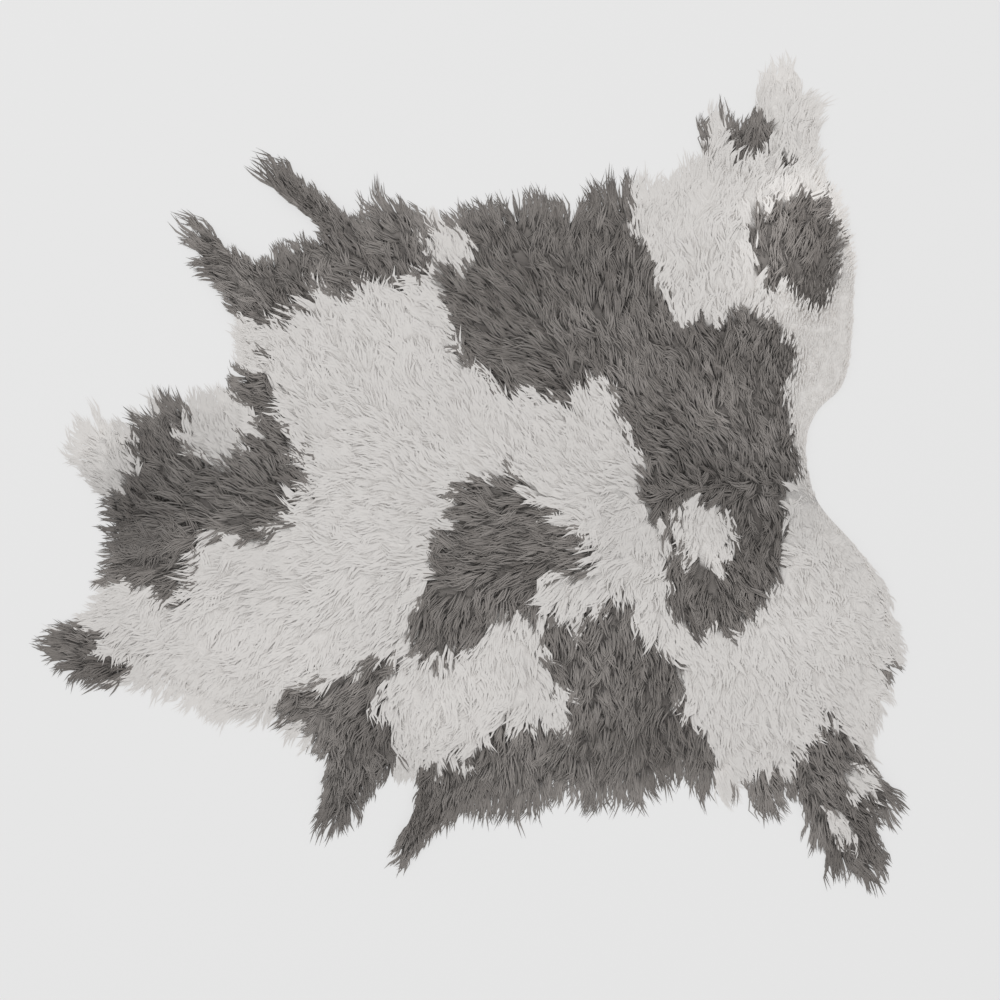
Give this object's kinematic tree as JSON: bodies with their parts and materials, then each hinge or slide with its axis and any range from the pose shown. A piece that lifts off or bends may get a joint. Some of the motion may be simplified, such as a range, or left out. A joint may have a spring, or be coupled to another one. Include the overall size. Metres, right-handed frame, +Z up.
{
  "type": "cowhide rug",
  "caption": "Whole long-haired hide lying flat as a floor rug, with irregular limbs, dark and pale patches and loose locks round its rim.",
  "frame": {"origin": "in the middle of the underside, on the floor, half-way along and across the hide to within about 5 mm", "axes": "+Z up from the floor, towards the hair side; +X along the spine towards the neck; +Y across, towards the upper flank, the picture's top"},
  "size_m": [1.7339, 1.6473, 0.0396],
  "materials": {
    "hair": "long matt hair in dark grey-brown and pale patches"
  },
  "bodies": {
    "root": {"cowhide": "hair"}
  },
  "joints": []
}
